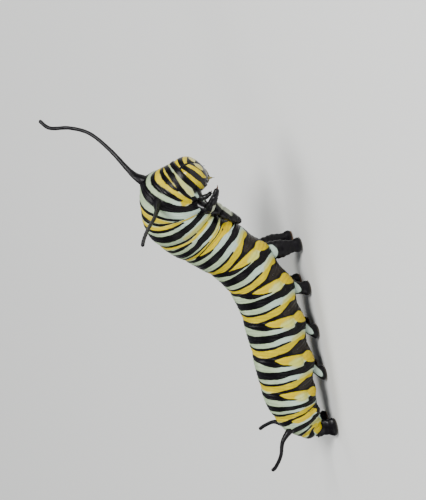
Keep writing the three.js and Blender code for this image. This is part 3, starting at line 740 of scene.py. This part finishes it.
def mouth_shells():
    """Jaws, feelers with a dark end joint and lower palps on each side, then clypeus, notched upper lip and
    lower lip. The number part is 1 on dark horn and 2 on olive parts."""
    middle, axes = head_axes()

    def bend(side, *places):
        return [middle + np.array([x * side, y, z]) @ axes for x, y, z in places]

    def feeler(share):
        steps = 0.05 * smooth_step(0.45, 0.5, share) + 0.04 * smooth_step(0.75, 0.8, share)
        return 0.2 - 0.03 * share - steps

    def notched(unit):
        return unit * (1 - 0.3 * hill(unit[..., :1] / 0.22) * smooth_step(0.2, 1, -unit[..., 1:2]))

    shells = []
    for side in (1, -1):
        jaw, = bend(side, (0.34, -1.5, 0.74))
        stalk = bend(side, (0.78, -0.9, 0.62), (0.86, -1.2, 0.95), (0.9, -1.42, 1.14))
        end_joint = bend(side, (0.9, -1.4, 1.12), (0.915, -1.5, 1.22), (0.92, -1.62, 1.3))
        palp = bend(side, (0.3, -1.35, 0.42), (0.36, -1.75, 0.54), (0.34, -1.98, 0.62))
        shells += [
            ball(jaw, axes, [0.36, 0.28, 0.32], 28, 20, part=1),
            tube(stalk, feeler, 18, 40, part=2),
            tube(end_joint, lambda s: 0.03 - 0.015 * s, 8, 10, part=1),
            tube(palp, lambda s: 0.17 - 0.07 * s - 0.03 * hill((s - 0.55) / 0.04), 16, 34, part=2),
        ]
    clypeus, upper_lip, lower_lip = bend(1, (0, -1.08, 1.0), (0, -1.36, 0.98), (0, -1.6, 0.4))
    return shells + [
        ball(clypeus, axes, [0.52, 0.3, 0.25], 32, 20, part=2),
        ball(upper_lip, axes, [0.43, 0.2, 0.2], 32, 20, notched, part=1),
        ball(lower_lip, axes, [0.32, 0.27, 0.32], 28, 20, part=1),
    ]


def eye_shells():
    """Six small round eyes a side in a bent row low on the cheek, each sunk by half in the capsule."""
    middle, axes = head_axes()
    sizes = np.array([HEAD["width"], HEAD["height"], HEAD["depth"]])
    shells = []
    for side in (1, -1):
        for off, turn in np.radians(EYES):
            across = math.sin(off)
            unit = np.array([side * across * math.sin(turn), across * math.cos(turn), math.cos(off)])
            place = middle + (head_surface(unit) * sizes) @ axes
            shells.append(ball(place, axes, [EYE_RADIUS] * 3, 20, 14))
    return shells


def spiracle_shells():
    """Breathing holes: an oval rim with a sunken middle on the prothorax and abdomen segments 1 to 8, turned
    to lie on the skin."""

    def sunk(unit):
        return unit * (1 - np.array([0, 0, 0.75]) * hill(np.hypot(unit[..., :1], unit[..., 1:2]) / 0.45))

    shells = []
    for u, away in SPIRACLES:
        for angle in (float(away), -float(away)):
            place = skin_point(u, angle, skin_relief(np.array(u), np.array(angle)))
            ahead = skin_point(u + 0.02, angle) - skin_point(u - 0.02, angle)
            ahead /= np.linalg.norm(ahead)
            out = np.cross(ahead, skin_point(u, angle + 1) - skin_point(u, angle - 1))
            out /= np.linalg.norm(out)
            axes = np.array([ahead, np.cross(out, ahead), out])
            shells.append(ball(place - out * 0.015, axes, SPIRACLE_SIZES, 24, 16, sunk,
                               rim=lambda unit: np.hypot(unit[..., 0], unit[..., 1])))
    return shells


def opaque(colour, gain=1.0):
    """A colour with full cover, brightened by gain."""
    return (*(min(1.0, channel * gain) for channel in colour), 1.0)


class Paint:
    """A material in the making, whose methods add nodes to its tree and join them up."""

    def __init__(self, name, **settings):
        self.material = bpy.data.materials.new(name)
        self.material.use_nodes = True
        self.tree = self.material.node_tree
        self.shader = self.tree.nodes["Principled BSDF"]
        for key, value in settings.items():
            self.shader.inputs[key.replace("_", " ")].default_value = value
        self.place = self.node("ShaderNodeTexCoord", {}, "Object")

    def feed(self, socket, value):
        """Links an output to a socket, or sets the socket to a plain value."""
        if hasattr(value, "is_output"):
            self.tree.links.new(value, socket)
        else:
            socket.default_value = value

    def node(self, kind, inputs, output=0, **settings):
        """The output of a new node with these settings and inputs."""
        node = self.tree.nodes.new(kind)
        for key, value in settings.items():
            setattr(node, key, value)
        for key, value in inputs.items():
            self.feed(node.inputs[key], value)
        return node.outputs[output]

    def number(self, name):
        """The piece's own number of that name."""
        return self.node("ShaderNodeAttribute", {}, "Fac", attribute_name=name)

    def noise(self, scale, detail=3.0, rough=0.55):
        """Noise with features of about 1 / scale metres."""
        inputs = {"Vector": self.place, "Scale": scale, "Detail": detail, "Roughness": rough}
        return self.node("ShaderNodeTexNoise", inputs, "Fac")

    def math(self, operation, *values):
        """The result of one sum."""
        return self.node("ShaderNodeMath", dict(enumerate(values)), operation=operation)

    def spread(self, value, low, high, start=0.0, end=1.0):
        """start below low, end above high, and a smooth step between."""
        inputs = {"Value": value, "From Min": low, "From Max": high, "To Min": start, "To Max": end}
        return self.node("ShaderNodeMapRange", inputs, "Result", interpolation_type="SMOOTHSTEP")

    def mix(self, share, first, second):
        """The first colour at share 0 and the second at share 1."""
        return self.node("ShaderNodeMix", {0: share, 6: first, 7: second}, 2, data_type="RGBA")

    def wobble(self, scale, amount):
        """Noise about nought, amount high from its lowest to its highest, which makes an edge uneven."""
        return self.math("MULTIPLY", self.math("SUBTRACT", self.noise(scale), 0.5), amount)

    def mask(self, name, shift, low, high):
        """0 where a number of the piece is below low and 1 above high, its edge shifted by a wobble."""
        return self.spread(self.math("ADD", self.number(name), shift), low, high)

    def tones(self, value, low, high, dark, light):
        """A mottle between two plain colours, as the value goes from low to high."""
        return self.mix(self.spread(value, low, high), opaque(dark), opaque(light))

    def shades(self, value, low, high, colour, light, dark=1.0):
        """A mottle between two gains of one colour."""
        return self.mix(self.spread(value, low, high), opaque(colour, dark), opaque(colour, light))

    def rough(self, value):
        """Gives the shader its roughness."""
        self.feed(self.shader.inputs["Roughness"], value)

    def bump(self, height, distance, strength):
        """Gives the shader a fine relief, distance metres deep."""
        inputs = {"Height": height, "Distance": distance, "Strength": strength}
        self.feed(self.shader.inputs["Normal"], self.node("ShaderNodeBump", inputs, "Normal"))

    def finish(self, colour):
        """Gives the shader its colour and hands the material over."""
        self.feed(self.shader.inputs["Base Color"], colour)
        return self.material


def skin_paint():
    """The banded skin: pale ground, greener and darker on the back, partly its own tint and partly painted
    shade, then yellow, black, umber, pale and orange by their fields, with soft uneven edges, faint mottling
    and fine wrinkles."""
    colours = bpy.context.scene.larva_colours
    paint = Paint("larva skin", Specular_IOR_Level=0.12, Coat_Weight=0.04, Coat_Roughness=0.2)
    shift = paint.wobble(2600, 0.08)
    mottle = paint.noise(900, 4.0)
    white = paint.shades(paint.noise(260, 2.0), 0.35, 0.7, colours.white, 1.22)
    white = paint.mix(paint.spread(mottle, 0.5, 0.78, 0.0, 0.35), white, opaque(MOSS))
    # Towards the back the pale ground turns to darker greens: partly its own tint, partly painted shade
    flank = paint.spread(paint.number("side"), 0.75, 0.1)
    white = paint.mix(flank, paint.tones(mottle, 0.4, 0.7, *BACK_GREENS_AND_SHADE), white)
    yellow = paint.shades(mottle, 0.35, 0.7, colours.yellow, 1.25)
    core = paint.mask("orange", shift, 0.02, 0.22)
    warm = paint.mix(core, opaque(colours.yellow, 1.15), opaque(colours.orange))
    lemon = paint.tones(mottle, 0.35, 0.7, *LEMONS)
    orange = paint.mix(paint.spread(paint.number("wash"), -0.2, 0.16), warm, lemon)
    black = paint.shades(mottle, 0.4, 0.75, colours.black, 2.4)
    umber = paint.shades(mottle, 0.4, 0.7, colours.umber, 1.8)
    base = paint.mix(paint.spread(paint.number("wash"), -0.28, 0.2, 0.0, 0.85), white, opaque(WASH))
    masks = {}
    for name, shade, soft, grow in (
            ("yellow", yellow, 0.09, 0.02), ("black", black, 0.03, 0.05), ("umber", umber, 0.1, 0.0),
            ("pale", opaque(colours.white, 0.85), 0.08, 0.0), ("orange", orange, 0.05, 0.0)):
        masks[name] = paint.mask(name, shift, -soft - grow, soft - grow)
        base = paint.mix(masks[name], base, shade)
    paint.rough(paint.spread(paint.math("ADD", paint.noise(3200, 2.0), masks["black"]), 0.4, 1.5, 0.46, 0.33))
    wrinkles = paint.math("ADD", paint.math("MULTIPLY", paint.noise(5200, 4.0, 0.6), 0.5), paint.noise(1500))
    paint.bump(wrinkles, 0.00006, 0.6)
    return paint.finish(base)


def head_paint():
    """The glossy black capsule with its yellow arcs, a fine pebbled surface and a paler face."""
    colours = bpy.context.scene.larva_colours
    paint = Paint("larva head", Specular_IOR_Level=0.2, Coat_Weight=0.2, Coat_Roughness=0.12)
    shift = paint.wobble(2800, 0.22)
    mottle = paint.noise(1300)
    black = paint.shades(mottle, 0.4, 0.75, colours.black, 2.2)
    yellow = paint.shades(mottle, 0.35, 0.7, colours.yellow, 1.25, 0.95)
    base = paint.mix(paint.mask("yellow", shift, -0.06, 0.06), black, yellow)
    cream = paint.tones(mottle, 0.35, 0.7, *FACE_CREAMS)
    paint.rough(paint.spread(paint.noise(4000), 0.3, 0.7, 0.22, 0.36))
    paint.bump(paint.noise(9000, 2.0), 0.00003, 0.5)
    return paint.finish(paint.mix(paint.mask("pale", shift, -0.08, 0.08), base, cream))


def dark_paint(name, tint, light, gloss, spots=2500):
    """A dark horn or flesh, mottled between two gains of its tint, with a fine uneven surface."""
    paint = Paint(name, Specular_IOR_Level=0.15, Coat_Weight=gloss * 0.4, Coat_Roughness=0.15)
    paint.rough(paint.spread(paint.noise(4200), 0.3, 0.7, 0.3, 0.46))
    paint.bump(paint.noise(6000), 0.00003, 0.5)
    return paint, paint.shades(paint.noise(spots), 0.35, 0.7, tint, light)


def mouth_paint():
    """Mouthparts: dark horn, and olive-yellow clypeus, feelers and palps."""
    paint, dark = dark_paint("larva mouth", bpy.context.scene.larva_colours.black, 3.0, 0.4)
    olive = paint.tones(paint.noise(2600), 0.35, 0.65, *MOUTH_OLIVES)
    return paint.finish(paint.mix(paint.spread(paint.number("part"), 1.4, 1.6, 0.0, 0.8), dark, olive))


def leg_paint():
    """True legs: a creamy plate on the outer side near the root, glossy black joints and a brown claw."""
    paint, dark = dark_paint("larva leg", bpy.context.scene.larva_colours.black, 2.6, 0.45)
    length = paint.math("ADD", paint.number("length"), paint.wobble(2600, 0.1))
    plate = paint.math("MULTIPLY", paint.spread(length, 0.3, 0.34), paint.spread(length, 0.66, 0.6))
    plate = paint.math("MULTIPLY", plate, paint.spread(paint.number("facing"), 0.55, 0.7))
    cream = paint.mix(paint.noise(1500), *map(opaque, PLATE_CREAMS))
    base = paint.mix(plate, dark, cream)
    return paint.finish(paint.mix(paint.spread(length, 1.1, 1.2), base, opaque(CLAW)))


def proleg_paint():
    """Prolegs: black flesh with a pale plate on the outer side of the base and a greyer sole."""
    colours = bpy.context.scene.larva_colours
    paint, dark = dark_paint("larva proleg", colours.black, 2.6, 0.15)
    plate = paint.mask("pale", paint.wobble(2600, 0.14), -0.02, 0.05)
    base = paint.mix(plate, dark, opaque(colours.white, 0.9))
    return paint.finish(paint.mix(paint.spread(paint.number("height"), 0.22, 0.02), base, opaque(SOLE)))


class LARVA_OT_skin(Operator):
    """Makes the banded skin of the whole body"""
    bl_idname = "larva.skin"
    bl_label = "Skin"

    def execute(self, context):
        sizes = context.scene.larva_body
        piece("skin", [skin_shell(sizes.rows, sizes.columns)], skin_paint(), SEGMENTS)
        return {"FINISHED"}


class LARVA_OT_head(Operator):
    """Makes the head capsule, the mouthparts and the small eyes"""
    bl_idname = "larva.head"
    bl_label = "Head"

    def execute(self, context):
        piece("head_capsule", [capsule_shell()], head_paint(), ["head"])
        piece("mouthparts", mouth_shells(), mouth_paint())
        paint, dark = dark_paint("larva eye", EYE, 3.0, 1.0, 6000)
        piece("eyes", eye_shells(), paint.finish(dark))
        return {"FINISHED"}


class LARVA_OT_prolegs(Operator):
    """Makes the five pairs of prolegs and the hooks of their soles"""
    bl_idname = "larva.prolegs"
    bl_label = "Prolegs"

    def execute(self, context):
        feet = [(proleg, side) for proleg in PROLEGS for _, side in SIDES]
        nodes = [f"proleg_{proleg['name']}_{name}" for proleg in PROLEGS for name, _ in SIDES]
        piece("prolegs", [proleg_shell(*foot) for foot in feet], proleg_paint(), nodes)
        paint, brown = dark_paint("larva hook", HOOK, 2.0, 0.5)
        hooks = [shell for foot in feet for shell in hook_shells(*foot)]
        piece("sole_hooks", hooks, paint.finish(brown))
        return {"FINISHED"}


class LARVA_OT_legs(Operator):
    """Makes the three pairs of true legs with their claws"""
    bl_idname = "larva.legs"
    bl_label = "True legs"

    def execute(self, context):
        shells = [shell for leg in LEGS for _, side in SIDES for shell in leg_shells(leg, side)]
        nodes = [f"leg_{number}_{name}" for number in (1, 2, 3) for name, _ in SIDES]
        piece("true_legs", shells, leg_paint(), nodes)
        return {"FINISHED"}


class LARVA_OT_tentacles(Operator):
    """Makes the long front pair and the short rear pair of tentacles"""
    bl_idname = "larva.tentacles"
    bl_label = "Tentacles"

    def execute(self, context):
        paint, dark = dark_paint("larva tentacle", context.scene.larva_colours.black, 3.0, 0.1, 1800)
        material = paint.finish(dark)
        for name, tentacle in TENTACLES.items():
            count = tentacle["lengths"]
            nodes = [f"tentacle_{name}"] if count == 1 else [f"tentacle_{name}_{k + 1}" for k in range(count)]
            piece(f"tentacle_{name}_skin", [tentacle_shell(tentacle)], material, nodes)
        return {"FINISHED"}


class LARVA_OT_spiracles(Operator):
    """Makes the breathing holes along both sides"""
    bl_idname = "larva.spiracles"
    bl_label = "Breathing holes"

    def execute(self, context):
        paint, dark = dark_paint("larva spiracle", HOLE, 2.0, 0.3, 7000)
        base = paint.mix(paint.spread(paint.number("rim"), 0.55, 0.75), dark, opaque(HOLE_RIM))
        piece("spiracles", spiracle_shells(), paint.finish(base))
        return {"FINISHED"}


class LARVA_OT_stage(Operator):
    """Makes the pale floor, the soft lights and the camera"""
    bl_idname = "larva.stage"
    bl_label = "Stage"

    def execute(self, context):
        scene = context.scene
        target = Vector((np.array(CAMERA["target"]) - ORIGIN) * MM)
        toward = Vector(CAMERA["toward"]).normalized()
        right = Vector(CAMERA["up"]).cross(toward).normalized()
        data = bpy.data.cameras.new("view")
        data.sensor_width = CAMERA["sensor"]
        data.sensor_fit = "AUTO"
        data.lens = CAMERA["sensor"] * CAMERA["distance"] / CAMERA["frame_height"]
        data.clip_start = 0.01
        camera = bpy.data.objects.new("view", data)
        turn = Matrix((right, toward.cross(right), toward)).transposed().to_4x4()
        camera.matrix_world = Matrix.Translation(target + toward * CAMERA["distance"] * MM) @ turn
        scene.collection.objects.link(camera)
        scene.camera = camera

        paint = Paint("stage floor", Roughness=0.7)
        corners = [(x * FLOOR_HALF, y * FLOOR_HALF, 0) for x, y in ((-1, -1), (1, -1), (1, 1), (-1, 1))]
        mesh = bpy.data.meshes.new("floor")
        mesh.from_pydata(corners, [], [(0, 1, 2, 3)])
        shade = paint.noise(9)
        colour = scene.larva_colours.floor
        mesh.materials.append(paint.finish(paint.mix(shade, opaque(colour, 0.97), opaque(colour, 1.03))))
        made = [bpy.data.objects.new("floor", mesh)]
        for name, place, size, power in LAMPS:
            lamp = bpy.data.lights.new(name, "AREA")
            lamp.shape = "DISK"
            lamp.size = size
            lamp.energy = power
            light = bpy.data.objects.new(name, lamp)
            light.location = place
            light.rotation_euler = (Vector(LAMP_TARGET) - Vector(place)).to_track_quat("-Z", "Y").to_euler()
            made.append(light)
        for each in made:
            scene.collection.objects.link(each)
        world = bpy.data.worlds.new("studio")
        world.use_nodes = True
        for key, value in WORLD.items():
            world.node_tree.nodes["Background"].inputs[key].default_value = value
        scene.world = world
        return {"FINISHED"}


STEPS = (LARVA_OT_skin, LARVA_OT_head, LARVA_OT_prolegs, LARVA_OT_legs, LARVA_OT_tentacles,
         LARVA_OT_spiracles, LARVA_OT_stage)


class LARVA_PT_panel(Panel):
    """Lists the larva's pieces and settings"""
    bl_label = "Monarch larva"
    bl_idname = "LARVA_PT_panel"
    bl_space_type = "VIEW_3D"
    bl_region_type = "UI"
    bl_category = "Larva"

    def draw(self, context):
        for group in (context.scene.larva_body, context.scene.larva_colours):
            for name in group.bl_rna.properties.keys():
                if name not in ("rna_type", "name"):
                    self.layout.prop(group, name)
        for step in STEPS:
            self.layout.operator(step.bl_idname)


CLASSES = (BodySizes, Colours, *STEPS, LARVA_PT_panel)


def register():
    """Registers the classes and puts the settings on the scene."""
    for entry in CLASSES:
        bpy.utils.register_class(entry)
    bpy.types.Scene.larva_body = PointerProperty(type=BodySizes)
    bpy.types.Scene.larva_colours = PointerProperty(type=Colours)


def unregister():
    """Takes the settings and the classes away again."""
    del bpy.types.Scene.larva_colours
    del bpy.types.Scene.larva_body
    for entry in reversed(CLASSES):
        bpy.utils.unregister_class(entry)


def main():
    """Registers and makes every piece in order."""
    register()
    for step in STEPS:
        group, name = step.bl_idname.split(".")
        if getattr(getattr(bpy.ops, group), name)() != {"FINISHED"}:
            raise RuntimeError(f"{step.bl_label} was not made")


if __name__ == "__main__":
    main()
